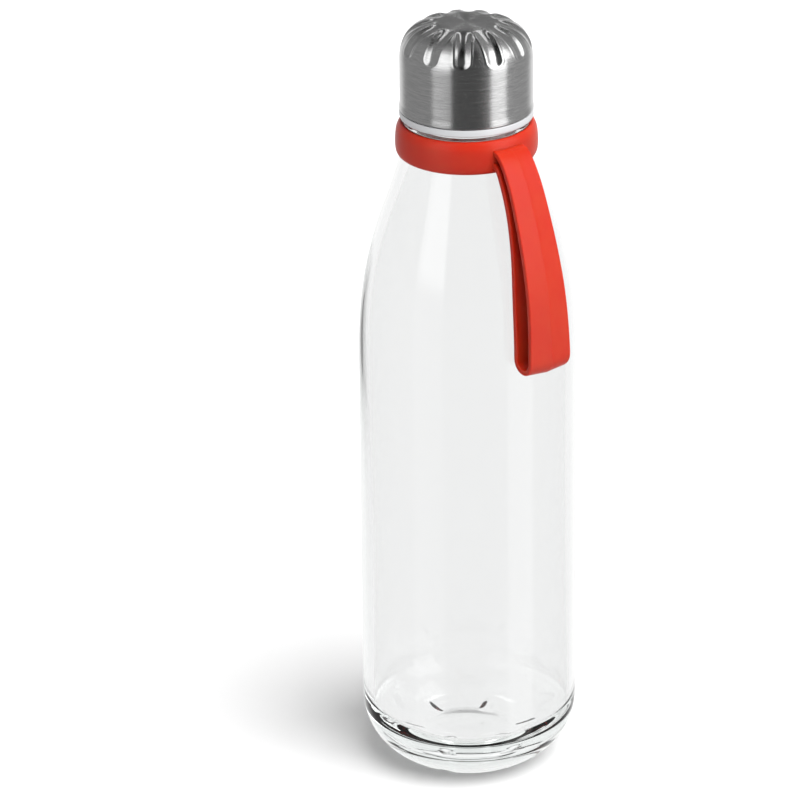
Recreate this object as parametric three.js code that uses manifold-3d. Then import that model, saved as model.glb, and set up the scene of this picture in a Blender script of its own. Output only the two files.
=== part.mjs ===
// Glass water bottle with a screw cap and a silicone carrying loop.
// Millimetres, +Z up. The origin is the centre of the base, on the surface the
// bottle stands on. The carrying loop hangs at 45 degrees between +X and -Y.
import * as THREE from 'three';
import { mergeVertices } from 'three/addons/utils/BufferGeometryUtils.js';
import Module from 'manifold-3d';

const wasm = await Module();
wasm.setup();

// ---------------------------------------------------------------- dimensions
const BODY_R = 36.0;            // body radius: 72 mm diameter
const HEEL_R = 21.3;            // heel, radial half-axis of its elliptic corner
const HEEL_H = 21.9;            // heel, vertical half-axis
const FOOT_IN = 15.5;           // bearing ring of the foot, inner radius
const FOOT_OUT = 19.5;          // and outer radius
const PUNT = 3.6;               // height of the push-up under the base
const NOTCHES = 6;              // notches across the bearing ring
const NOTCH_AT = -12;           // azimuth of the first notch, from -Y towards +X
const NOTCH_DEPTH = 1.3;
const NECK_R = 17.6;            // neck under the screw thread
const MOUTH_R = 14.6;           // mouth: 29.2 mm clear
const LIP_Z = 254.6;            // sealing lip
const BEAD_R = 21.0;            // transfer bead above the collar's groove
const BEAD_Z = 230.1;
const LEAD = 12.0;              // three-start thread, lead
const STARTS = 3;
const THREAD_AT = 45;           // azimuth of the first start, from +X towards +Y
const THREAD_Z = 242.4;         // height of the glass thread at its start
const THREAD_R = 1.15;          // round glass thread bead
const LUG_R = 1.0;              // round thread lug in the liner
const SEAL_R = 16.9;            // gasket, outer radius
const CAP_R = 21.68;            // steel shell, outer radius
const CAP_Z0 = 233.75;          // steel shell, lower edge
const CAP_WALL_TOP = 250.4;     // where the dome starts
const CAP_TOP = 262.95;         // top of the steel shell
const CAP_FLAT_R = 7.2;         // nearly flat crown
const DOME_N = 2.38;            // squareness of the dome's corner
const SHELL_T = 0.5;            // sheet thickness
const FLUTES = 12;
const FLUTE_AT = 5;             // azimuth of the first flute, from -Y towards +X
const FLUTE_HALF = 2.25;        // half width of a flute
const FLUTE_DEPTH = 0.95;
const BORE_R = 19.3;            // liner bore
const GAP = 0.35;               // clearance between pieces that touch
const STRAP_AT = 45;            // azimuth of the loop, from -Y towards +X
const STRAP_T = 1.7;            // thickness of the strap
const STRAP_S0 = 5.95;          // half width at z = 226
const STRAP_TAPER = 0.0315;     // half width gained per mm downwards
const RIDGE = 0.7;              // height of the ridge along the outer strand
const HINGE_U = 25.6;           // flexing root of the loop: distance from the axis
const HINGE_Z = 222.4;
const HINGE_R = 1.9;

// ------------------------------------------------------------------- helpers
const rad = (d) => (d * Math.PI) / 180;

function weld(geometry) {
  const g = geometry.index ? geometry.toNonIndexed() : geometry;
  g.deleteAttribute('normal');
  g.deleteAttribute('uv');
  const m = mergeVertices(g, 1e-4);
  // drop triangles that collapsed onto the axis
  const p = m.getAttribute('position');
  const keep = [];
  for (let i = 0; i < m.index.count; i += 3) {
    const [a, b, c] = [m.index.getX(i), m.index.getX(i + 1), m.index.getX(i + 2)];
    if (a !== b && b !== c && a !== c) keep.push(a, b, c);
  }
  m.setIndex(keep);
  let v = 0;
  const A = new THREE.Vector3(), B = new THREE.Vector3(), C = new THREE.Vector3();
  for (let i = 0; i < keep.length; i += 3) {
    A.fromBufferAttribute(p, keep[i]);
    B.fromBufferAttribute(p, keep[i + 1]);
    C.fromBufferAttribute(p, keep[i + 2]);
    v += A.dot(B.clone().cross(C)) / 6;
  }
  if (v < 0) {
    for (let i = 0; i < keep.length; i += 3) [keep[i], keep[i + 1]] = [keep[i + 1], keep[i]];
    m.setIndex(keep);
  }
  return m;
}

function toSolid(geometry) {
  const g = weld(geometry);
  return new wasm.Manifold(new wasm.Mesh({
    numProp: 3,
    vertProperties: new Float32Array(g.getAttribute('position').array),
    triVerts: new Uint32Array(g.index.array),
  }));
}

// A cut or joined solid as a geometry. Edges shorter than SHORT are collapsed
// where that keeps the surface closed, so that no sliver facets are left.
const SHORT = 0.16;
function fromSolid(solid) {
  const m = solid.getMesh();
  const pos = Array.from(m.vertProperties);
  let tris = [];
  for (let i = 0; i < m.triVerts.length; i += 3) tris.push([m.triVerts[i], m.triVerts[i + 1], m.triVerts[i + 2]]);
  const dist = (a, b) => Math.hypot(pos[3 * a] - pos[3 * b], pos[3 * a + 1] - pos[3 * b + 1], pos[3 * a + 2] - pos[3 * b + 2]);
  for (let round = 0; round < 400; round++) {
    let best = null;
    for (const t of tris) {
      for (let k = 0; k < 3; k++) {
        const a = t[k], b = t[(k + 1) % 3], d = dist(a, b);
        if (a < b && d < SHORT && (!best || d < best.d)) {
          const near = (v) => new Set(tris.filter((q) => q.includes(v)).flat());
          const na = near(a), nb = near(b);
          const shared = [...na].filter((v) => v !== a && v !== b && nb.has(v));
          if (shared.length === 2) best = { a, b, d };
        }
      }
    }
    if (!best) break;
    tris = tris.map((t) => t.map((v) => (v === best.b ? best.a : v))).filter((t) => new Set(t).size === 3);
  }
  // Needle facets: the long edge is turned to the vertex across it.
  const height = (t, k) => { // of vertex t[k+2] above the edge t[k], t[k+1]
    const [a, b, c] = [t[k], t[(k + 1) % 3], t[(k + 2) % 3]].map((v) => new THREE.Vector3(pos[3 * v], pos[3 * v + 1], pos[3 * v + 2]));
    return b.clone().sub(a).cross(c.sub(a)).length() / b.distanceTo(a);
  };
  for (let round = 0; round < 60; round++) {
    let done = true;
    for (let i = 0; i < tris.length && done; i++) {
      const t = tris[i];
      for (let k = 0; k < 3; k++) {
        const [a, b, c] = [t[k], t[(k + 1) % 3], t[(k + 2) % 3]];
        if (dist(a, b) < dist(b, c) || dist(a, b) < dist(c, a) || height(t, k) > 0.04) continue;
        const j = tris.findIndex((q) => [0, 1, 2].some((m) => q[m] === b && q[(m + 1) % 3] === a));
        const d = tris[j].find((v) => v !== a && v !== b);
        if (tris.some((q) => q.includes(c) && q.includes(d))) continue;
        tris[i] = [a, d, c];
        tris[j] = [d, b, c];
        done = false;
        break;
      }
    }
    if (done) break;
  }
  const used = [...new Set(tris.flat())];
  const at = new Map(used.map((v, i) => [v, i]));
  const g = new THREE.BufferGeometry();
  g.setAttribute('position', new THREE.BufferAttribute(new Float32Array(used.flatMap((v) => pos.slice(3 * v, 3 * v + 3))), 3));
  g.setIndex(new THREE.BufferAttribute(new Uint32Array(tris.flat().map((v) => at.get(v))), 1));
  return g;
}

// A solid of revolution about +Z from [r, z] points.
function turned(profile, segments, closed = false) {
  const pts = profile.map(([r, z]) => new THREE.Vector2(r, z));
  if (closed) pts.push(pts[0].clone());
  const g = new THREE.LatheGeometry(pts, segments);
  g.rotateX(Math.PI / 2);
  return weld(g);
}

class Helix extends THREE.Curve {
  constructor(r, a0, sweep, z0, lead) {
    super();
    Object.assign(this, { r, a0, sweep, z0, lead });
  }
  getPoint(t, target = new THREE.Vector3()) {
    const a = this.a0 + this.sweep * t;
    return target.set(this.r * Math.cos(a), this.r * Math.sin(a), this.z0 + (this.lead * this.sweep * t) / (2 * Math.PI));
  }
}

function threadBead(r, beadR, a0Deg, sweepDeg, z0, steps) {
  const section = new THREE.Shape();
  for (let i = 0; i < 8; i++) {
    const a = (i / 8) * 2 * Math.PI;
    const q = [beadR * Math.cos(a), beadR * Math.sin(a)];
    if (i === 0) section.moveTo(...q); else section.lineTo(...q);
  }
  section.closePath();
  const path = new Helix(r, rad(a0Deg), rad(sweepDeg), z0, LEAD);
  return new THREE.ExtrudeGeometry(section, { steps, bevelEnabled: false, extrudePath: path, curveSegments: 1 });
}

const mat = (color, roughness, metalness, extra = {}) =>
  new THREE.MeshStandardMaterial({ color, roughness, metalness, ...extra });

const part = new THREE.Group();
function add(name, geometry, material) {
  geometry.computeVertexNormals();
  const mesh = new THREE.Mesh(geometry, material);
  mesh.name = name;
  part.add(mesh);
}

// -------------------------------------------------------------- glass bottle
const heel = [26, 40, 54, 68, 80].map((d) => [
  BODY_R - HEEL_R + HEEL_R * Math.sin(rad(d)),
  HEEL_H * (1 - Math.cos(rad(d))),
]);
const bottleProfile = [
  [0, PUNT], [9, PUNT - 0.5], [13.5, 1.5], [FOOT_IN, 0], [FOOT_OUT, 0],
  ...heel,
  [BODY_R, HEEL_H], [BODY_R, 145], [35.85, 155], [35.2, 165], [33.9, 175], [31.8, 185], [28.9, 195],
  [25.5, 205], [22.4, 215], [20.9, 220.3], [19.9, 224], [19.5, 228.2],
  [20.4, 228.9], [BEAD_R, BEAD_Z - 0.4], [BEAD_R, BEAD_Z + 0.4], [20.4, 231.2], [NECK_R, 231.9],
  [NECK_R, 251.8], [17.0, 252.8], [17.0, 253.8], [16.3, LIP_Z], [15.1, LIP_Z], [MOUTH_R, 254.0],
  [MOUTH_R, 232], [15.6, 224], [19.2, 214], [23.4, 202], [28.0, 188], [30.9, 176], [32.3, 164], [33.0, 148],
  [33.0, 24], [31.2, 16.2], [26.5, 11.6], [18, 9.7], [0, 9.3],
];
const bottleLathe = turned(bottleProfile, 60);
{
  // Notches across the bearing ring and the lower heel.
  const p = bottleLathe.getAttribute('position');
  for (let i = 0; i < p.count; i++) {
    const x = p.getX(i), y = p.getY(i), z = p.getZ(i);
    const r = Math.hypot(x, y);
    if (z > 6 || r < 12 || r > 29) continue;
    const a = (Math.atan2(x, -y) * 180) / Math.PI;
    const d = Math.abs(((((a - NOTCH_AT) % (360 / NOTCHES)) + 1.5 * (360 / NOTCHES)) % (360 / NOTCHES)) - 180 / NOTCHES);
    if (d < 8) p.setZ(i, z + NOTCH_DEPTH * Math.cos((d / 16) * Math.PI));
  }
}
let glass = toSolid(bottleLathe);
for (let k = 0; k < STARTS; k++) {
  glass = glass.add(toSolid(threadBead(NECK_R - 0.05, THREAD_R, (k * 360) / STARTS + THREAD_AT, 150, THREAD_Z, 14)));
}
add('glass_bottle', fromSolid(glass), mat(0xe8efee, 0.04, 0, { transparent: true, opacity: 0.35 }));

// ------------------------------------------------------------ steel cap shell
// Dome corner: a superellipse from the wall to the crown, inset by d.
function dome(d, steps) {
  const out = [];
  for (let i = 0; i <= steps; i++) {
    const t = (i / steps) * (Math.PI / 2);
    out.push([
      CAP_FLAT_R + (CAP_R - d - CAP_FLAT_R) * Math.cos(t) ** (2 / DOME_N),
      CAP_WALL_TOP + (CAP_TOP - d - CAP_WALL_TOP) * Math.sin(t) ** (2 / DOME_N),
    ]);
  }
  return out; // wall first, crown last
}
const shellProfile = [
  [0, CAP_TOP - 0.1],
  ...dome(0, 7).reverse(),
  [CAP_R, CAP_Z0 + 2.4], [CAP_R + 0.25, CAP_Z0 + 0.7], [CAP_R + 0.25, CAP_Z0],
  [CAP_R - 0.4, CAP_Z0], [CAP_R - SHELL_T, CAP_Z0 + 2.4],
  ...dome(SHELL_T, 6),
  [0, CAP_TOP - 0.1 - SHELL_T],
];
const shell = turned(shellProfile, 72);
{
  // Flutes: pressed inwards over the dome, both faces of the sheet alike.
  const p = shell.getAttribute('position');
  const step = (t) => { const u = Math.min(1, Math.max(0, t)); return u * u * (3 - 2 * u); };
  for (let i = 0; i < p.count; i++) {
    const x = p.getX(i), y = p.getY(i), z = p.getZ(i);
    const r = Math.hypot(x, y);
    if (r < 1 || z < CAP_WALL_TOP - 0.01) continue;
    const a = (Math.atan2(x, -y) * 180) / Math.PI;
    const q = 360 / FLUTES;
    const d = Math.abs(((((a - FLUTE_AT) % q) + 1.5 * q) % q) - q / 2);
    const w = rad(d) * r;
    if (w >= FLUTE_HALF) continue;
    const along = step((r - 7.5) / 5.5) * step((z - 252.6) / 3.4);
    const depth = FLUTE_DEPTH * along * Math.cos((w / FLUTE_HALF) * (Math.PI / 2)) ** 2;
    // inward normal of the dome
    const nr = Math.max(0, (r - CAP_FLAT_R) / (CAP_R - CAP_FLAT_R)) ** (DOME_N - 1) / (CAP_R - CAP_FLAT_R);
    const nz = Math.max(0, (z - CAP_WALL_TOP) / (CAP_TOP - CAP_WALL_TOP)) ** (DOME_N - 1) / (CAP_TOP - CAP_WALL_TOP);
    const n = Math.hypot(nr, nz);
    const rr = r - (depth * nr) / n;
    p.setXYZ(i, (x * rr) / r, (y * rr) / r, z - (depth * nz) / n);
  }
}
add('cap_shell', shell, mat(0x9a9a98, 0.32, 1));

// ------------------------------------------------------------ cap liner, seal
// The outside follows the dome, inside its flutes; the seal sits in a recess
// under the roof.
const linerProfile = [
  [0, 258.6], [16.5, 258.6], [18.2, 256.6], [19.4, 253.8], [20.8, 249.6], [20.8, CAP_Z0 - GAP], [21.9, CAP_Z0 - GAP],
  [21.9, 231.9], [21.6, 231.6], [20.0, 231.6], [BORE_R, 232.4], [BORE_R, 252.6], [SEAL_R + GAP, 254.5],
  [SEAL_R + GAP, 256.8], [0, 256.8],
];
let liner = toSolid(turned(linerProfile, 60).rotateZ(rad(THREAD_AT)));
for (let k = 0; k < STARTS; k++) {
  // Each lug lies half a pitch below the glass thread that it pulls against.
  const a0 = (k * 360) / STARTS + THREAD_AT + 25;
  liner = liner.add(toSolid(threadBead(BORE_R + 0.1, LUG_R, a0, 100, THREAD_Z - LEAD / STARTS / 2 + (LEAD * 25) / 360, 10)));
}
add('cap_liner', fromSolid(liner), mat(0xe9eaec, 0.4, 0));

add('cap_gasket', turned([
  [12.5, LIP_Z + GAP], [SEAL_R, LIP_Z + GAP], [SEAL_R, 256.8 - GAP], [12.5, 256.8 - GAP],
], 48, true), mat(0xf2f2f0, 0.6, 0));

// ------------------------------------------------------------ silicone collar
const collarProfile = [
  [20.85, 228.6], [21.5, 228.95], [22.5, 227.9], [23.15, 225], [23.35, 221.9], [23.0, 219.6], [22.3, 218.5],
  [21.75, 218.3], [21.3, 220.4], [20.3, 224.1], [19.9, 228.0],
];
add('neck_collar', turned(collarProfile, 60, true), mat(0xe0402c, 0.5, 0));

// ------------------------------------------------------------- carrying loop
// Side view of the loop in (u, z): u is the distance from the bottle's axis.
const outer = [
  [27.9, 223.1], [30.0, 220.2], [32.6, 215.6], [35.6, 208.5], [38.7, 200], [41.2, 192], [43.2, 184], [44.7, 174], [45.4, 165],
  [45.6, 159.6],
];
const turn = [];
for (let i = 1; i < 8; i++) {
  const a = (i / 8) * Math.PI;
  turn.push([40.75 + 4.85 * Math.cos(a), 159.4 - 4.9 * Math.sin(a)]);
}
const inner = [
  [36.1, 159.4], [35.4, 168.5], [34.4, 178.7], [33.5, 188.9], [32.5, 196], [31.1, 202.8], [28.9, 209.6], [26.6, 214.8], [24.6, 218.6],
];
const rim = [...outer, ...turn, ...inner];
// The root's knuckle: the part of a circle about the flexing line.
const knuckle = [];
for (let i = 0; i <= 8; i++) {
  const a = rad(225 - (i / 8) * 165);
  knuckle.push([HINGE_U + HINGE_R * Math.cos(a), HINGE_Z + HINGE_R * Math.sin(a)]);
}
const outline = [...rim, ...knuckle];
// The hand hole: the same line moved inwards by the strap's thickness.
function inset(line, t) {
  return line.map((q, i) => {
    const a = line[Math.max(0, i - 1)], b = line[Math.min(line.length - 1, i + 1)];
    const dx = b[0] - a[0], dz = b[1] - a[1], n = Math.hypot(dx, dz);
    return [q[0] + (dz / n) * t, q[1] - (dx / n) * t];
  });
}
const hole = inset(rim, STRAP_T).slice(2, -2);
const toFrame = (u, s, z) => {
  const c = Math.cos(rad(STRAP_AT)), n = Math.sin(rad(STRAP_AT));
  return [u * n + s * c, -u * c + s * n, z];
};
const sideShape = (line) => new THREE.Shape(line.map(([u, z]) => new THREE.Vector2(u, z)));
const loopGeo = new THREE.ExtrudeGeometry(sideShape(outline), { depth: 2, steps: 2, bevelEnabled: false });
{
  // Extruded across the width, then tapered; the middle row of the outer face
  // is raised into a ridge.
  const p = loopGeo.getAttribute('position');
  for (let i = 0; i < p.count; i++) {
    let u = p.getX(i);
    const z = p.getY(i);
    const k = Math.round(p.getZ(i)) - 1; // -1, 0, 1
    const s = k * (STRAP_S0 + STRAP_TAPER * (226 - z));
    if (k === 0) {
      const j = outer.findIndex((q) => Math.hypot(q[0] - u, q[1] - z) < 1e-3);
      if (j > 0) u += RIDGE * Math.min(1, (j + 1) / 4);
    }
    p.setXYZ(i, ...toFrame(u, s, z));
  }
}
const holeGeo = new THREE.ExtrudeGeometry(sideShape(hole), { depth: 24, steps: 1, bevelEnabled: false });
{
  const p = holeGeo.getAttribute('position');
  for (let i = 0; i < p.count; i++) p.setXYZ(i, ...toFrame(p.getX(i), p.getZ(i) - 12, p.getY(i)));
}
add('carry_strap', fromSolid(toSolid(loopGeo).subtract(toSolid(holeGeo))), mat(0xe0402c, 0.5, 0));

export default part;
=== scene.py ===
import math

import bpy
import numpy as np
from mathutils import Matrix, Vector


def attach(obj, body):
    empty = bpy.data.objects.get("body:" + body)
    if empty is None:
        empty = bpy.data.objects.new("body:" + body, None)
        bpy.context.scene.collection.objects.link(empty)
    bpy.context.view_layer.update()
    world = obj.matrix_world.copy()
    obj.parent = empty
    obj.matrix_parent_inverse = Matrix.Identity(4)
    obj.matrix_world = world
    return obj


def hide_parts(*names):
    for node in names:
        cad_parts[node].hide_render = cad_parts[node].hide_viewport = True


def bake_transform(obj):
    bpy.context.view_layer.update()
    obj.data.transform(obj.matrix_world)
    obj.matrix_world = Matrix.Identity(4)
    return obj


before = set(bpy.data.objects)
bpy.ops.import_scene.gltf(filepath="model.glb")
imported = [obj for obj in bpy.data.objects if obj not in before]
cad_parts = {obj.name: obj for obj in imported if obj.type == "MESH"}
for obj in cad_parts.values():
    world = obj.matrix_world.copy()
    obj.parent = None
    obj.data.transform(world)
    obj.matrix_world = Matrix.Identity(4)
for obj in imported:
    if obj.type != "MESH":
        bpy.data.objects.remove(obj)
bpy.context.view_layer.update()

MM = 0.001
TAU = 2 * math.pi


# ------------------------------------------------------------------ numbers
def spline(xs, ys, x, s0=None, s1=None):
    """Cubic spline through the points, natural or with given end slopes."""
    xs, ys, x = np.array(xs, float), np.array(ys, float), np.array(x, float)
    n = len(xs)
    h = np.diff(xs)
    A = np.zeros((n, n))
    b = np.zeros(n)
    for i in range(1, n - 1):
        A[i, i - 1], A[i, i], A[i, i + 1] = h[i - 1], 2 * (h[i - 1] + h[i]), h[i]
        b[i] = 6 * ((ys[i + 1] - ys[i]) / h[i] - (ys[i] - ys[i - 1]) / h[i - 1])
    if s0 is None:
        A[0, 0] = 1
    else:
        A[0, 0], A[0, 1] = 2 * h[0], h[0]
        b[0] = 6 * ((ys[1] - ys[0]) / h[0] - s0)
    if s1 is None:
        A[-1, -1] = 1
    else:
        A[-1, -1], A[-1, -2] = 2 * h[-1], h[-1]
        b[-1] = 6 * (s1 - (ys[-1] - ys[-2]) / h[-1])
    m = np.linalg.solve(A, b)
    i = np.clip(np.searchsorted(xs, x) - 1, 0, n - 2)
    t = x - xs[i]
    return (
        ys[i]
        + t * ((ys[i + 1] - ys[i]) / h[i] - h[i] * (2 * m[i] + m[i + 1]) / 6)
        + t * t * m[i] / 2
        + t**3 * (m[i + 1] - m[i]) / (6 * h[i])
    )


def smooth_line(points, step, closed=False):
    """Points on a smooth curve through the given ones, about step apart."""
    p = np.array(points, float)
    if closed:
        p = np.vstack([p[-3:], p, p[:4]])
    d = np.concatenate([[0], np.cumsum(np.sqrt(np.linalg.norm(np.diff(p, axis=0), axis=1)))])
    t0, t1 = (d[3], d[-4]) if closed else (d[0], d[-1])
    fine = np.linspace(t0, t1, 1200)
    q = np.stack([spline(d, p[:, k], fine) for k in range(p.shape[1])], 1)
    s = np.concatenate([[0], np.cumsum(np.linalg.norm(np.diff(q, axis=0), axis=1))])
    n = max(3, int(round(s[-1] / step)))
    at = np.linspace(0, s[-1], n + 1)
    out = np.stack([np.interp(at, s, q[:, k]) for k in range(q.shape[1])], 1)
    return out[:-1] if closed else out


def rounded(points, radius, n=4):
    """A polyline whose inner corners are rounded off."""
    p = [np.array(q, float) for q in points]
    out = [p[0]]
    for i in range(1, len(p) - 1):
        r = radius[i] if isinstance(radius, (list, tuple)) else radius
        a, b = p[i - 1] - p[i], p[i + 1] - p[i]
        la, lb = np.linalg.norm(a), np.linalg.norm(b)
        c = min(r, la * 0.45, lb * 0.45)
        if c < 1e-6:
            out.append(p[i])
            continue
        q0, q1 = p[i] + a / la * c, p[i] + b / lb * c
        for k in range(n + 1):
            t = k / n
            out.append((1 - t) ** 2 * q0 + 2 * t * (1 - t) * p[i] + t * t * q1)
    out.append(p[-1])
    return np.array(out)


def sstep(t):
    t = np.clip(t, 0, 1)
    return t * t * (3 - 2 * t)


# ------------------------------------------------------------------- meshes
def make(name, verts, faces, material, smooth=True, weld=None):
    me = bpy.data.meshes.new(name)
    me.from_pydata([tuple(v) for v in np.array(verts) * MM], [], faces)
    me.validate()
    me.update()
    ob = bpy.data.objects.new(name, me)
    bpy.context.scene.collection.objects.link(ob)
    me.materials.append(material)
    for p in me.polygons:
        p.use_smooth = smooth
    return ob


def lathe(profile, segs, closed=False, shape=None, a0=0.0):
    """Verts and quads of a solid of revolution from [r, z] points. An open
    profile starts and ends on the axis. shape(x, y, z, r, a, i) moves points."""
    prof = np.array(profile, float)
    n = len(prof)
    ring = [k for k in range(n) if prof[k, 0] > 1e-6]
    a = a0 + np.arange(segs) * TAU / segs
    verts, index = [], {}
    for k in range(n):
        if prof[k, 0] <= 1e-6:
            index[k] = len(verts)
            verts.append((0.0, 0.0, prof[k, 1]))
        else:
            index[k] = len(verts)
            # azimuth from -Y towards +X
            for t in a:
                verts.append((prof[k, 0] * math.sin(t), -prof[k, 0] * math.cos(t), prof[k, 1]))
    faces = []
    for k in range(n if closed else n - 1):
        m = (k + 1) % n
        for j in range(segs):
            jn = (j + 1) % segs
            if k in ring and m in ring:
                faces.append((index[k] + j, index[k] + jn, index[m] + jn, index[m] + j))
            elif k in ring:
                faces.append((index[k] + j, index[k] + jn, index[m]))
            elif m in ring:
                faces.append((index[k], index[m] + jn, index[m] + j))
    verts = np.array(verts, float)
    if shape is not None:
        verts = shape(verts)
    return outward(verts, faces)


def outward(verts, faces):
    v = 0.0
    for f in faces:
        for k in range(1, len(f) - 1):
            p, q, r = verts[f[0]], verts[f[k]], verts[f[k + 1]]
            v += (
                p[0] * (q[1] * r[2] - q[2] * r[1])
                + p[1] * (q[2] * r[0] - q[0] * r[2])
                + p[2] * (q[0] * r[1] - q[1] * r[0])
            )
    if v < 0:
        faces = [tuple(reversed(f)) for f in faces]
    return verts, faces


# ---------------------------------------------------------------- materials
class Nodes:
    def __init__(self, tree):
        self.t = tree
        tree.nodes.clear()

    def node(self, kind, **settings):
        n = self.t.nodes.new(kind)
        for k, v in settings.items():
            setattr(n, k, v)
        return n

    def put(self, socket, value):
        if hasattr(value, "is_output") or hasattr(value, "links"):
            self.t.links.new(value, socket)
        else:
            socket.default_value = value

    def math(self, op, a, b=0.0, c=0.0, clamp=False):
        n = self.node("ShaderNodeMath", operation=op, use_clamp=clamp)
        for s, v in zip(n.inputs, (a, b, c)):
            self.put(s, v)
        return n.outputs[0]

    def ramp(self, value, lo, hi, out0=0.0, out1=1.0, kind="SMOOTHSTEP"):
        n = self.node("ShaderNodeMapRange", interpolation_type=kind, clamp=True)
        for s, v in zip(n.inputs, (value, lo, hi, out0, out1)):
            self.put(s, v)
        return n.outputs[0]

    def band(self, value, lo, hi, soft):
        a = self.ramp(value, lo - soft, lo + soft)
        b = self.ramp(value, hi - soft, hi + soft, 1.0, 0.0)
        return self.math("MULTIPLY", a, b)

    def mix(self, f, a, b):
        n = self.node("ShaderNodeMix", data_type="RGBA")
        self.put(n.inputs[0], f)
        self.put(n.inputs[6], a)
        self.put(n.inputs[7], b)
        return n.outputs[2]

    def xyz(self, vector):
        n = self.node("ShaderNodeSeparateXYZ")
        self.put(n.inputs[0], vector)
        return n.outputs

    def vec(self, x, y, z):
        n = self.node("ShaderNodeCombineXYZ")
        for s, v in zip(n.inputs, (x, y, z)):
            self.put(s, v)
        return n.outputs[0]

    def noise(self, vector, scale, detail=2.0, rough=0.5):
        n = self.node("ShaderNodeTexNoise")
        self.put(n.inputs["Vector"], vector)
        n.inputs["Scale"].default_value = scale
        n.inputs["Detail"].default_value = detail
        n.inputs["Roughness"].default_value = rough
        return n.outputs["Fac"]

    def bump(self, height, strength, distance, normal=None):
        n = self.node("ShaderNodeBump")
        n.inputs["Strength"].default_value = strength
        n.inputs["Distance"].default_value = distance
        self.put(n.inputs["Height"], height)
        if normal is not None:
            self.put(n.inputs["Normal"], normal)
        return n.outputs[0]


def new_material(name):
    m = bpy.data.materials.new(name)
    m.use_nodes = True
    k = Nodes(m.node_tree)
    out = k.node("ShaderNodeOutputMaterial")
    bsdf = k.node("ShaderNodeBsdfPrincipled")
    k.t.links.new(bsdf.outputs[0], out.inputs["Surface"])
    return m, k, bsdf, out


def glass_material():
    m, k, b, out = new_material("clear_glass")
    b.inputs["Base Color"].default_value = (0.90, 0.902, 0.902, 1)
    b.inputs["Roughness"].default_value = 0.0
    b.inputs["IOR"].default_value = 1.5
    b.inputs["Transmission Weight"].default_value = 1.0
    v = k.node("ShaderNodeVolumeAbsorption")
    v.inputs["Color"].default_value = (0.72, 0.88, 0.82, 1)
    v.inputs["Density"].default_value = 2.5
    k.t.links.new(v.outputs[0], out.inputs["Volume"])
    return m


def steel_material():
    m, k, b, out = new_material("brushed_steel")
    tc = k.node("ShaderNodeTexCoord").outputs["Object"]
    x, y, z = k.xyz(tc)
    r = k.math("SQRT", k.math("ADD", k.math("MULTIPLY", x, x), k.math("MULTIPLY", y, y)))
    inv = k.math("DIVIDE", 1.0, k.math("MAXIMUM", r, 0.0004))
    ca, sa = k.math("MULTIPLY", x, inv), k.math("MULTIPLY", y, inv)
    s = k.math("SUBTRACT", z, r)  # runs along the profile, down the wall and out from the centre
    fine = k.noise(k.vec(k.math("MULTIPLY", ca, 5.0), k.math("MULTIPLY", sa, 5.0), k.math("MULTIPLY", s, 5200.0)), 1.0, 3.0, 0.6)
    long_ = k.noise(k.vec(k.math("MULTIPLY", ca, 2.0), k.math("MULTIPLY", sa, 2.0), k.math("MULTIPLY", s, 2600.0)), 1.0, 2.0, 0.55)
    short = k.noise(k.vec(k.math("MULTIPLY", ca, 11.0), k.math("MULTIPLY", sa, 11.0), k.math("MULTIPLY", s, 9000.0)), 1.0, 2.0, 0.6)
    lines = k.math("ADD", k.math("MULTIPLY", fine, 0.5), k.math("ADD", k.math("MULTIPLY", long_, 0.25), k.math("MULTIPLY", short, 0.25)))
    k.put(b.inputs["Base Color"], k.mix(k.ramp(lines, 0.34, 0.66, kind="LINEAR"), (0.47, 0.47, 0.47, 1), (0.69, 0.69, 0.69, 1)))
    b.inputs["Metallic"].default_value = 1.0
    k.put(b.inputs["Roughness"], k.ramp(lines, 0.3, 0.7, STEEL_ROUGH - 0.04, STEEL_ROUGH + 0.06, "LINEAR"))
    b.inputs["Anisotropic"].default_value = 0.92
    b.inputs["Anisotropic Rotation"].default_value = STEEL_TURN
    t = k.node("ShaderNodeTangent", direction_type="RADIAL", axis="Z")
    k.t.links.new(t.outputs[0], b.inputs["Tangent"])
    calm = k.ramp(r, 0.004, 0.012, 0.12, 1.0)
    k.put(b.inputs["Normal"], k.bump(k.math("MULTIPLY", lines, calm), 0.34, 0.00004))
    return m


def silicone_material():
    m, k, b, out = new_material("red_silicone")
    tc = k.node("ShaderNodeTexCoord").outputs["Object"]
    x, y, z = k.xyz(tc)
    # across the loop: s is the distance from its middle plane
    s = k.math("MULTIPLY", k.math("ADD", x, y), 0.70710678)
    u = k.math("MULTIPLY", k.math("SUBTRACT", x, y), 0.70710678)
    d = k.math("ABSOLUTE", s)
    line = k.math("MULTIPLY", k.ramp(d, 0.00004, 0.00013, 1.0, 0.0), k.ramp(u, 0.015, 0.018))
    cloud = k.noise(tc, 70.0, 3.0, 0.55)
    grain = k.noise(tc, 5200.0, 2.0, 0.5)
    base = k.mix(k.ramp(cloud, 0.3, 0.7), RED_DARK, RED_LIGHT)
    k.put(b.inputs["Base Color"], k.mix(k.math("MULTIPLY", line, 0.35), base, (0.42, 0.02, 0.012, 1)))
    k.put(b.inputs["Roughness"], k.ramp(k.math("ADD", k.math("MULTIPLY", cloud, 0.6), k.math("MULTIPLY", grain, 0.4)), 0.3, 0.7, 0.36, 0.46, "LINEAR"))
    b.inputs["Specular IOR Level"].default_value = 0.5
    b.inputs["IOR"].default_value = 1.43
    b.inputs["Subsurface Weight"].default_value = 0.55
    b.inputs["Subsurface Radius"].default_value = (1.0, 0.10, 0.06)
    b.inputs["Subsurface Scale"].default_value = 0.0024
    n1 = k.bump(grain, 0.10, 0.00004)
    k.put(b.inputs["Normal"], k.bump(k.math("MULTIPLY", line, -1.0), 0.5, 0.00008, n1))
    return m


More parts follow.
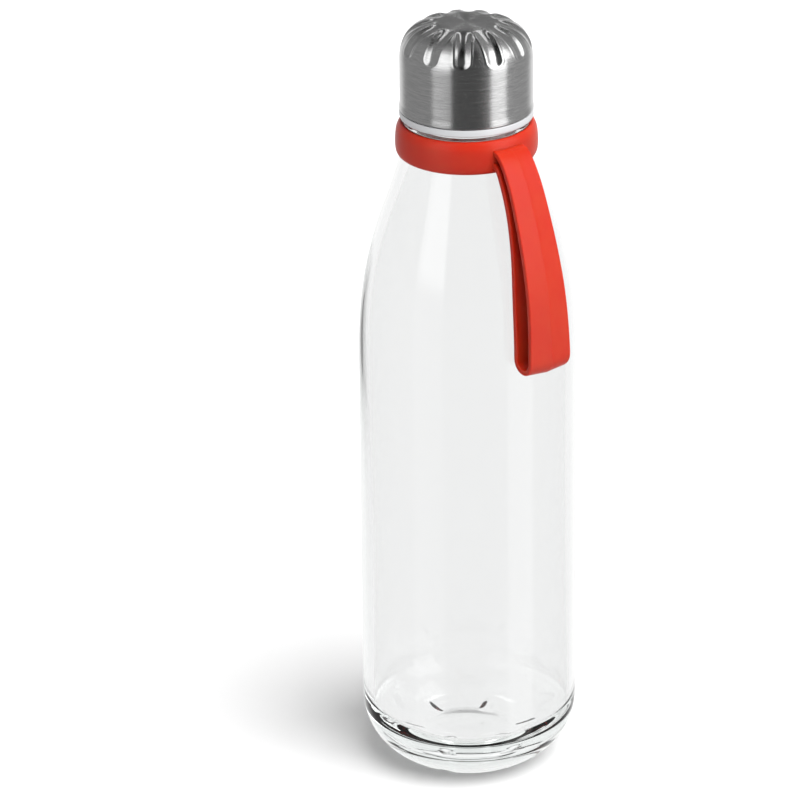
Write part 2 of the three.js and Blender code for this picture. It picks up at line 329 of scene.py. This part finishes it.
def plastic_material():
    m, k, b, out = new_material("white_plastic")
    tc = k.node("ShaderNodeTexCoord").outputs["Object"]
    cloud = k.noise(tc, 120.0, 3.0, 0.5)
    grain = k.noise(tc, 3800.0, 2.0, 0.5)
    k.put(b.inputs["Base Color"], k.mix(cloud, (0.44, 0.445, 0.46, 1), (0.50, 0.505, 0.515, 1)))
    k.put(b.inputs["Roughness"], k.ramp(grain, 0.3, 0.7, 0.30, 0.42, "LINEAR"))
    k.put(b.inputs["Normal"], k.bump(grain, 0.06, 0.00003))
    return m


def seal_material():
    m, k, b, out = new_material("clear_silicone")
    tc = k.node("ShaderNodeTexCoord").outputs["Object"]
    grain = k.noise(tc, 2400.0, 3.0, 0.5)
    k.put(b.inputs["Base Color"], k.mix(grain, (0.80, 0.80, 0.77, 1), (0.92, 0.92, 0.90, 1)))
    k.put(b.inputs["Roughness"], k.ramp(grain, 0.3, 0.7, 0.45, 0.6, "LINEAR"))
    k.put(b.inputs["Normal"], k.bump(grain, 0.08, 0.00003))
    return m


STEEL_ROUGH = 0.22
STEEL_TURN = 0.25
RED_DARK = (0.40, 0.015, 0.004, 1)
RED_LIGHT = (0.41, 0.023, 0.006, 1)

GLASS = glass_material()
STEEL = steel_material()
RED = silicone_material()
WHITE = plastic_material()
SEAL = seal_material()

# ------------------------------------------------------------- glass bottle
BODY_R, HEEL_R, HEEL_H = 36.0, 21.3, 21.9
NOTCHES, NOTCH_AT, NOTCH_DEPTH = 6, math.radians(-12), 1.8
NECK_R, MOUTH_R, LIP_Z = 17.6, 14.6, 254.6
LEAD, STARTS, THREAD_Z, THREAD_AT = 12.0, 3, 242.4, 45.0

foot = rounded(
    [[0, 0.8], [6, 0.72], [12, 0.40], [16.9, 0.0], [19.3, 0.0], [22.1, 0.95], [24.0, 2.19]],
    [0, 3, 2.4, 1.6, 0.9, 1.2, 0], 8,
)
foot = foot[:-1]
heel = [
    (BODY_R - HEEL_R + HEEL_R * math.sin(t), HEEL_H * (1 - math.cos(t)))
    for t in np.linspace(math.radians(26), math.pi / 2, 34)
]
zs = np.linspace(140, 228.2, 86)
shoulder = spline(
    [140, 155, 165, 175, 185, 195, 205, 215, 222, 228.4],
    [36.0, 35.83, 35.18, 33.9, 31.8, 28.98, 25.45, 22.4, 20.65, 19.5], zs, 0.0, -0.12,
)
neck = rounded(
    [[19.5, 228.25], [19.55, 228.5], [20.55, 228.9], [21.0, 229.5], [21.0, 230.7], [20.5, 231.3], [18.4, 231.7], [NECK_R, 232.6]],
    [0, 0.3, 0.4, 0.45, 0.45, 0.4, 0.8, 0], 4,
)[1:]
top = rounded(
    [[NECK_R, 251.6], [NECK_R, 252.4], [17.0, 252.9], [17.0, 253.9], [16.5, LIP_Z], [15.0, LIP_Z], [MOUTH_R, 254.0], [MOUTH_R, 252.5]],
    [0, 0.3, 0.25, 0.5, 0.6, 0.6, 0.4, 0], 4,
)
izs = np.linspace(239, 140, 92)
inner_shoulder = spline(
    [140, 155, 165, 175, 185, 195, 205, 215, 221, 225, 228, 230.5, 234, 239],
    [33.0, 32.83, 32.15, 30.8, 28.6, 25.6, 21.9, 18.75, 17.35, 16.45, 15.35, 14.75, 14.6, 14.6], izs, 0.0, 0.0,
)
inner_heel = [
    (14.0 + 19.0 * math.sin(t), 9.5 + 14.4 * (1 - math.cos(t)))
    for t in np.linspace(math.pi / 2, math.radians(6), 34)
]
profile = np.vstack([
    foot, heel,
    [[BODY_R, z] for z in np.linspace(27, 137, 16)],
    np.stack([shoulder, zs], 1), neck,
    [[NECK_R, z] for z in np.linspace(233.2, 251.2, 44)],
    top,
    [[MOUTH_R, z] for z in np.linspace(250, 241, 4)],
    np.stack([inner_shoulder, izs], 1),
    [[33.0, z] for z in np.linspace(134, 28, 14)],
    inner_heel, [[10, 9.42], [5, 9.36], [0, 9.34]],
])
OUTER_ROWS = len(foot) + len(heel) + 16 + len(zs) + len(neck) + 44


def glass_shape(v):
    x, y, z = v[:, 0], v[:, 1], v[:, 2]
    r = np.hypot(x, y)
    a = np.arctan2(x, -y)
    out = v.copy()
    # notches across the bearing ring, running out into the heel
    q = TAU / NOTCHES
    d = np.abs((a - NOTCH_AT + 0.5 * q) % q - 0.5 * q)
    w = d * np.maximum(r, 1e-6)
    wide = 3.0 + 0.10 * np.maximum(0, r - 19)
    lift = NOTCH_DEPTH * np.where(w < wide, np.cos(w / wide * math.pi / 2) ** 2, 0)
    lift *= sstep((r - 16.2) / 3.4) * (1 - sstep((r - 20.5) / 8.0)) * (z < 6.5)
    out[:, 2] += lift
    # the three thread starts on the neck
    radius = np.zeros(len(v))
    b = np.degrees(np.arctan2(y, x))
    on = (np.abs(r - NECK_R) < 0.05) & (z > 233) & (z < 251.5)
    for k in range(STARTS):
        t = (b - k * 360 / STARTS - THREAD_AT) % 360
        h = np.abs(z - (THREAD_Z + LEAD * t / 360 * 1.0))
        ends = np.minimum(1, np.minimum(t / 12, (150 - t) / 12))
        lug = 1.05 * np.sqrt(np.clip(1 - (h / 1.2) ** 2, 0, 1)) * np.clip(ends, 0, 1)
        radius = np.where(on & (t < 150), np.maximum(radius, lug), radius)
    # the blown inner face is not quite round, and its floor not quite level
    inner = (r > 3) & (r < 33.2) & (z > 9) & (z < 239)
    inside = np.zeros(len(v), bool)
    inside[INNER_FROM:] = True
    body = sstep((z - 12) / 25) * (1 - sstep((z - 150) / 70))
    wob = 0.16 * np.cos(2 * a + 0.7) + 0.10 * np.cos(3 * a + 0.021 * z) + 0.05 * np.cos(7 * a + 1.3) * np.cos(z / 31.0)
    radius = np.where(inside & inner, radius + wob * body, radius)
    s = (r + radius) / np.maximum(r, 1e-6)
    out[:, 0] *= s
    out[:, 1] *= s
    return out


SEGS = 240
INNER_FROM = 1 + (OUTER_ROWS - 1) * SEGS
verts, faces = lathe(profile, SEGS, shape=glass_shape)
bottle = make("bottle_glass", verts, faces, GLASS)
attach(bottle, "bottle")
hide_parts("glass_bottle")

# ---------------------------------------------------------------- steel cap
CAP_R, CAP_Z0, CAP_WALL_TOP, CAP_TOP, CAP_FLAT_R, DOME_N = 21.68, 233.75, 250.4, 262.95, 7.2, 2.38
FLUTES, FLUTE_AT = 12, math.radians(5)


def dome(d, steps):
    out = []
    for t in np.linspace(0, math.pi / 2, steps + 1):
        out.append((
            CAP_FLAT_R + (CAP_R - d - CAP_FLAT_R) * max(0.0, math.cos(t)) ** (2 / DOME_N),
            CAP_WALL_TOP + (CAP_TOP - d - CAP_WALL_TOP) * max(0.0, math.sin(t)) ** (2 / DOME_N),
        ))
    return np.array(out)


def even(points, step):
    s = np.concatenate([[0], np.cumsum(np.linalg.norm(np.diff(points, axis=0), axis=1))])
    at = np.linspace(0, s[-1], int(s[-1] / step) + 1)
    return np.stack([np.interp(at, s, points[:, k]) for k in (0, 1)], 1)


outside = even(dome(0, 400), 0.28)[::-1]
inside_dome = even(dome(0.5, 400), 0.6)
crown = [[0, CAP_TOP - 0.16], [1.5, CAP_TOP - 0.15], [3.2, CAP_TOP - 0.10], [5.2, CAP_TOP - 0.03]]
edge = rounded(
    [[CAP_R, CAP_Z0 + 3.0], [CAP_R, CAP_Z0 + 2.4], [CAP_R + 0.22, CAP_Z0 + 0.8], [CAP_R + 0.24, CAP_Z0], [CAP_R - 0.3, CAP_Z0], [CAP_R - 0.5, CAP_Z0 + 2.4]],
    [0, 0.8, 0.5, 0.18, 0.18, 0], 4,
)
shell_profile = np.vstack([
    crown, outside, [[CAP_R, z] for z in (248, 244, 240)], edge,
    inside_dome, [[3.5, CAP_TOP - 0.6], [0, CAP_TOP - 0.66]],
])


def shell_shape(v):
    x, y, z = v[:, 0], v[:, 1], v[:, 2]
    r = np.hypot(x, y)
    a = np.arctan2(x, -y)
    q = TAU / FLUTES
    d = np.abs((a - FLUTE_AT + 0.5 * q) % q - 0.5 * q) * r
    nr = np.maximum(0, (r - CAP_FLAT_R) / (CAP_R - CAP_FLAT_R)) ** (DOME_N - 1) / (CAP_R - CAP_FLAT_R)
    nz = np.maximum(0, (z - CAP_WALL_TOP) / (CAP_TOP - CAP_WALL_TOP)) ** (DOME_N - 1) / (CAP_TOP - CAP_WALL_TOP)
    n = np.maximum(np.hypot(nr, nz), 1e-9)
    # distance from the flute's middle line, whose ends are round
    low = np.clip((FLUTE_Z - z) / 1.0, 0, None)
    high = np.clip((FLUTE_R - r) / 1.0, 0, None)
    dist = np.sqrt(d**2 + (low * 1.15) ** 2 + (high * 1.0) ** 2)
    u = np.clip(dist / FLUTE_HALF, 0, 1)
    deep = FLUTE_DEPTH * sstep((r - 7.2) / 6.0)
    depth = deep * (1 - u**2.5) ** 1.5
    # the sheet rises very slightly beside each flute
    rim = 0.07 * np.exp(-(((dist - FLUTE_HALF - 0.35) / 0.35) ** 2)) * sstep((r - 8.5) / 4) * (z > CAP_WALL_TOP - 1.0)
    rim *= 1 - sstep((r - 20.9) / 0.7)
    depth = np.where((z > CAP_WALL_TOP - 0.01) & (r > 1), depth - rim, 0)
    out = v.copy()
    rr = np.maximum(r - depth * nr / n, 0)
    s = np.where(r > 1, rr / np.maximum(r, 1e-6), 1)
    out[:, 0] *= s
    out[:, 1] *= s
    out[:, 2] = np.minimum(z - np.where(r > 1, depth * nz / n, 0), CAP_TOP)
    return out


FLUTE_HALF, FLUTE_DEPTH, FLUTE_Z, FLUTE_R = 2.7, 0.66, 256.2, 11.5
verts, faces = lathe(shell_profile, 576, shape=shell_shape)
shell = make("steel_cap", verts, faces, STEEL)
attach(shell, "cap")
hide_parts("cap_shell")

# -------------------------------------------------------------------- liner
BORE_R = 19.3
liner_profile = np.vstack([
    rounded(
        [[0, 258.6], [16.4, 258.6], [18.15, 256.6], [19.35, 253.8], [20.75, 249.6], [20.75, CAP_Z0 - 0.3], [21.85, CAP_Z0 - 0.3], [21.9, 231.4], [21.65, 230.95], [21.35, 230.95], [21.2, 231.5], [20.1, 231.7], [BORE_R, 232.5], [BORE_R, 233.6]],
        [0, 0.6, 0.6, 1.0, 1.2, 0.2, 0.3, 0.3, 0.15, 0.15, 0.2, 0.3, 0.4, 0], 4,
    ),
    [[BORE_R, z] for z in np.linspace(234.2, 252.0, 47)],
    rounded([[BORE_R, 252.2], [BORE_R, 252.6], [17.25, 254.5], [17.25, 256.8], [0, 256.8]], [0, 0.3, 0.3, 0.3, 0], 4),
])


def liner_shape(v):
    x, y, z = v[:, 0], v[:, 1], v[:, 2]
    r = np.hypot(x, y)
    b = np.degrees(np.arctan2(y, x))
    on = (np.abs(r - BORE_R) < 0.05) & (z > 234) & (z < 252.1)
    push = np.zeros(len(v))
    for k in range(STARTS):
        t = (b - k * 360 / STARTS - THREAD_AT) % 360
        h = np.abs(z - (THREAD_Z - LEAD / STARTS / 2 + LEAD * t / 360))
        ends = np.clip(np.minimum((t - 20) / 12, (130 - t) / 12), 0, 1)
        lug = 0.9 * np.sqrt(np.clip(1 - (h / 1.05) ** 2, 0, 1)) * ends
        push = np.where(on & (t > 20) & (t < 130), np.maximum(push, lug), push)
    out = v.copy()
    s = (r - push) / np.maximum(r, 1e-6)
    s = np.where(r > 1e-6, s, 1)
    out[:, 0] *= s
    out[:, 1] *= s
    return out


verts, faces = lathe(liner_profile, 216, shape=liner_shape)
liner = make("liner_white", verts, faces, WHITE)
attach(liner, "cap")
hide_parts("cap_liner")

gasket_profile = rounded(
    [[12.5, 255.7], [12.5, 254.95], [16.9, 254.95], [16.9, 256.45], [12.5, 256.45], [12.5, 255.7]],
    [0, 0.4, 0.4, 0.4, 0.4, 0], 4,
)[:-1]
verts, faces = lathe(gasket_profile, 160, closed=True)
seal = make("gasket_ring", verts, faces, SEAL)
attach(seal, "seal")
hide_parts("cap_gasket")

# ------------------------------------------------------------------- collar
hug = lambda z: float(np.interp(z, zs, shoulder)) - 0.05
collar_profile = smooth_line(
    [[20.5, 229.0], [21.02, 229.3], [21.5, 229.28], [22.2, 228.5], [22.9, 226.9], [23.22, 224.8], [23.34, 222.4], [23.28, 220.6], [23.0, 219.2],
     [22.35, 218.42], [21.75, 218.45]] + [[hug(z), z] for z in (219.4, 221, 223, 225, 227)] + [[19.55, 228.4]],
    0.30, closed=True)
verts, faces = lathe(collar_profile, 288, closed=True)
collar = make("silicone_collar", verts, faces, RED)
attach(collar, "collar")
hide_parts("neck_collar")

# -------------------------------------------------------------------- strap
STRAP_T, S0, TAPER, RIDGE = 1.7, 5.95, 0.0315, 0.62
path = np.array(
    [[21.4, 226.15], [22.6, 226.3], [24.0, 226.1], [25.7, 225.1], [27.6, 223.2], [29.9, 219.9], [32.5, 215.2], [35.35, 208.4],
     [38.45, 200], [40.95, 192], [42.95, 184], [44.5, 174], [45.2, 165], [45.4, 160.4]]
    + [[40.75 + 4.65 * math.cos(t), 159.35 - 4.85 * math.sin(t)] for t in np.linspace(0.18, math.pi - 0.12, 9)]
    + [[36.05, 160.4], [35.4, 168.5], [34.4, 178.7], [33.5, 188.9], [32.5, 196], [31.05, 202.8], [28.9, 209.6], [26.6, 214.8], [24.9, 218.0], [23.7, 219.7], [22.5, 220.5], [21.4, 220.7]]
)
line = smooth_line(path, 0.8)
tangent = np.gradient(line, axis=0)
tangent /= np.linalg.norm(tangent, axis=1)[:, None]
inward = np.stack([tangent[:, 1], -tangent[:, 0]], 1)  # to the right of travel: into the loop
L = np.concatenate([[0], np.cumsum(np.linalg.norm(np.diff(line, axis=0), axis=1))])
low = int(np.argmin(line[:, 1]))
verts, faces, rings = [], [], []
E = 0.42
for i, (p, nrm) in enumerate(zip(line, inward)):
    half = S0 + TAPER * (226 - p[1])
    # the roof runs down the outer strand and fades out round the bottom
    along = sstep(L[i] / 12.0) * (1 - sstep((L[i] - L[low] - 2.0) / 16.0) * 0.75)
    ridge = RIDGE * along
    sec = []
    tuck = math.exp(-(((L[i] - L[low] + 0.5) / 4.2) ** 2))
    for f in (-1, -0.93, -0.5, -0.045, 0, 0.045, 0.5, 0.93, 1):
        s = f * half if abs(f) != 0.93 else math.copysign(half - E, f)
        up = ridge * (1 - min(1, abs(s) / half)) ** 1.15
        if abs(f) < 0.05:
            up += 0.05 * along * (1 if f == 0 else 0)
        sec.append((s, -up))
    sec += [(half, E), (half, STRAP_T - E)]
    sec += [(half, STRAP_T), (half - E, STRAP_T), (0.5 * half, STRAP_T), (0, STRAP_T), (-0.5 * half, STRAP_T), (-half + E, STRAP_T), (-half, STRAP_T)]
    sec += [(-half, STRAP_T - E), (-half, E)]
    ring = []
    for s, d in sec:
        u, z = p[0] + nrm[0] * d, p[1] + nrm[1] * d
        ring.append(len(verts))
        s *= 1 - tuck * (0.15 if s > 0 else 0.04)
        verts.append((0.70710678 * (u + s), 0.70710678 * (s - u), z))
    rings.append(ring)
for a, b in zip(rings[:-1], rings[1:]):
    n = len(a)
    for j in range(n):
        faces.append((a[j], a[(j + 1) % n], b[(j + 1) % n], b[j]))
faces.append(tuple(reversed(rings[0])))
faces.append(tuple(rings[-1]))
verts, faces = outward(np.array(verts), faces)
strap = make("silicone_strap", verts, faces, RED)
mod = strap.modifiers.new("round", "SUBSURF")
mod.levels = mod.render_levels = 2
bpy.context.view_layer.objects.active = strap
strap.select_set(True)
bpy.ops.object.modifier_apply(modifier="round")
strap.select_set(False)
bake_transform(strap)
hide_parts("carry_strap")

# -------------------------------------------------------------------- stage
CAM_TURN = math.radians(8.5)


def floor_material():
    m, k, b, out = new_material("floor")
    tc = k.node("ShaderNodeTexCoord").outputs["Object"]
    n = k.noise(tc, 6.0, 2.0, 0.5)
    k.put(b.inputs["Base Color"], k.mix(n, (0.66, 0.66, 0.66, 1), (0.67, 0.67, 0.67, 1)))
    b.inputs["Roughness"].default_value = 1.0
    b.inputs["Specular IOR Level"].default_value = 0.0
    b.inputs["Emission Color"].default_value = (1, 1, 1, 1)
    b.inputs["Emission Strength"].default_value = FLOOR_GLOW
    # seen through the glass, the floor is evenly lit
    lit = k.node("ShaderNodeEmission")
    lit.inputs["Strength"].default_value = FLOOR_THROUGH
    mixer = k.node("ShaderNodeMixShader")
    k.t.links.new(k.node("ShaderNodeLightPath").outputs["Is Transmission Ray"], mixer.inputs[0])
    k.t.links.new(b.outputs[0], mixer.inputs[1])
    k.t.links.new(lit.outputs[0], mixer.inputs[2])
    k.t.links.new(mixer.outputs[0], out.inputs["Surface"])
    return m


FLOOR_GLOW = 0.04
FLOOR_THROUGH = 1.10
KEY = 5.8
me = bpy.data.meshes.new("floor")
me.from_pydata([(-9, -9, 0), (9, -9, 0), (9, 9, 0), (-9, 9, 0)], [], [(0, 1, 2, 3)])
floor = bpy.data.objects.new("floor", me)
bpy.context.scene.collection.objects.link(floor)
me.materials.append(floor_material())
floor.location.z = -0.0001
floor.visible_glossy = False

# Studio: two tall softboxes, the dark room between them and grey walls.
world = bpy.data.worlds.new("studio")
bpy.context.scene.world = world
world.use_nodes = True
world.cycles.sampling_method = "NONE"
w = Nodes(world.node_tree)
dx, dy, dz = w.xyz(w.node("ShaderNodeTexCoord").outputs["Generated"])
az = w.math("SUBTRACT", w.math("ARCTAN2", dx, w.math("MULTIPLY", dy, -1.0)), CAM_TURN)
el = w.math("ARCSINE", dz)
side = w.math("ABSOLUTE", az)
DARK, WALL, GLASS_FILL = 0.11, 0.34, 1.0
base = w.ramp(side, 0.45, 1.25, DARK, WALL)
base = w.math("ADD", base, w.math("MULTIPLY", w.ramp(side, 2.2, 2.75, 0.0, 0.6), w.ramp(el, 0.02, 0.20, 1.0, 0.0)))
base = w.math("ADD", base, w.ramp(el, 0.5, 1.3, 0.0, -0.14))
base = w.math("ADD", base, w.math("MULTIPLY", w.ramp(side, 1.9, 2.5, 0.0, -0.13), w.ramp(el, 0.15, 0.35)))
base = w.math("ADD", base, w.ramp(az, 0.28, 0.70, 0.0, 0.07))
RIGHT_UP, RIGHT_DOWN, LEFT_UP, LEFT_DOWN = 2.6, 0.82, 1.6, 0.37
CROWN_LAMPS = 4.0
right = w.math("MULTIPLY", w.band(az, math.radians(43), math.radians(73), 0.06), w.band(el, -1.3, math.radians(58), 0.06))
right = w.math("MULTIPLY", right, w.ramp(el, -0.05, 0.10, RIGHT_DOWN, RIGHT_UP))
wing = w.math("MULTIPLY", w.band(az, math.radians(72), math.radians(92), 0.06), w.band(el, math.radians(16), math.radians(52), 0.10))
right = w.math("ADD", right, w.math("MULTIPLY", wing, 2.2))
left = w.math("MULTIPLY", w.band(az, math.radians(-60), math.radians(-26), 0.05), w.band(el, -1.3, math.radians(55), 0.06))
left = w.math("MULTIPLY", left, w.ramp(el, -0.05, 0.10, LEFT_DOWN, LEFT_UP))
light = w.math("ADD", base, w.math("ADD", right, left))
paths = w.node("ShaderNodeLightPath").outputs
# matt surfaces are lit by a plain tent, and what passes through glass meets its pale walls
tent = w.ramp(el, -0.1, 1.2, 0.27, 0.46)
# two narrow lamps high behind, which the spun crown draws out into crossing rays
lamps = w.math("MULTIPLY", w.band(side, math.radians(161), math.radians(168), 0.03), w.band(el, math.radians(44), math.radians(56), 0.04))
light = w.math("ADD", light, w.math("MULTIPLY", lamps, w.math("MULTIPLY", paths["Is Glossy Ray"], CROWN_LAMPS)))
light = w.math("ADD", light, w.math("MULTIPLY", paths["Is Transmission Ray"], w.math("SUBTRACT", w.math("MAXIMUM", light, GLASS_FILL), light)))
light = w.math("ADD", light, w.math("MULTIPLY", paths["Is Diffuse Ray"], w.math("SUBTRACT", tent, light)))
bg = w.node("ShaderNodeBackground")
w.put(bg.inputs["Color"], w.vec(light, light, light))
white = w.node("ShaderNodeBackground")
white.inputs["Color"].default_value = (1, 1, 1, 1)
cam_ray = paths["Is Camera Ray"]
mixer = w.node("ShaderNodeMixShader")
w.t.links.new(cam_ray, mixer.inputs[0])
w.t.links.new(bg.outputs[0], mixer.inputs[1])
w.t.links.new(white.outputs[0], mixer.inputs[2])
wout = w.node("ShaderNodeOutputWorld")
w.t.links.new(mixer.outputs[0], wout.inputs["Surface"])

# a broad key for the floor, from the right and in front
key = bpy.data.lights.new("key", "SUN")
key.angle = math.radians(58)
key.cycles.use_multiple_importance_sampling = False
key.energy = KEY
key_ob = bpy.data.objects.new("key", key)
bpy.context.scene.collection.objects.link(key_ob)
ka, ke = math.radians(46) + CAM_TURN, math.radians(58)
toward = Vector((math.cos(ke) * math.sin(ka), -math.cos(ke) * math.cos(ka), math.sin(ke)))
key_ob.rotation_euler = toward.to_track_quat("Z", "Y").to_euler()
key_ob.location = toward * 2.0
key_ob.visible_glossy = False

# ------------------------------------------------------------------- camera
H_BACK, H_UP, PITCH, YAW, ROLL, F_PX = 1622.7584, 847.4407, 0.4165, -0.0139, -0.0105, 5334.08
fw = np.array([math.sin(YAW) * math.cos(PITCH), math.cos(YAW) * math.cos(PITCH), -math.sin(PITCH)])
rt = np.array([math.cos(YAW), -math.sin(YAW), 0.0])
up = np.cross(rt, fw)
rt2 = math.cos(ROLL) * rt + math.sin(ROLL) * up
up2 = -math.sin(ROLL) * rt + math.cos(ROLL) * up
turn = np.array([[math.cos(CAM_TURN), -math.sin(CAM_TURN), 0], [math.sin(CAM_TURN), math.cos(CAM_TURN), 0], [0, 0, 1]])
pos = turn @ np.array([0, -H_BACK, H_UP]) * MM
X, Y, Z = turn @ rt2, turn @ up2, -(turn @ fw)
cam_data = bpy.data.cameras.new("camera")
cam_data.sensor_width = 36.0
cam_data.lens = F_PX * 36.0 / 800.0
cam_data.clip_start, cam_data.clip_end = 0.05, 60
cam = bpy.data.objects.new("camera", cam_data)
bpy.context.scene.collection.objects.link(cam)
cam.matrix_world = Matrix([
    (X[0], Y[0], Z[0], pos[0]), (X[1], Y[1], Z[1], pos[1]), (X[2], Y[2], Z[2], pos[2]), (0, 0, 0, 1),
])
scene = bpy.context.scene
scene.camera = cam
scene.view_settings.view_transform = "Standard"
scene.view_settings.look = "None"
scene.cycles.use_denoising = True
scene.cycles.max_bounces = 32
scene.cycles.transmission_bounces = 32
scene.cycles.glossy_bounces = 16
scene.cycles.diffuse_bounces = 8
scene.cycles.sample_clamp_indirect = 6.0
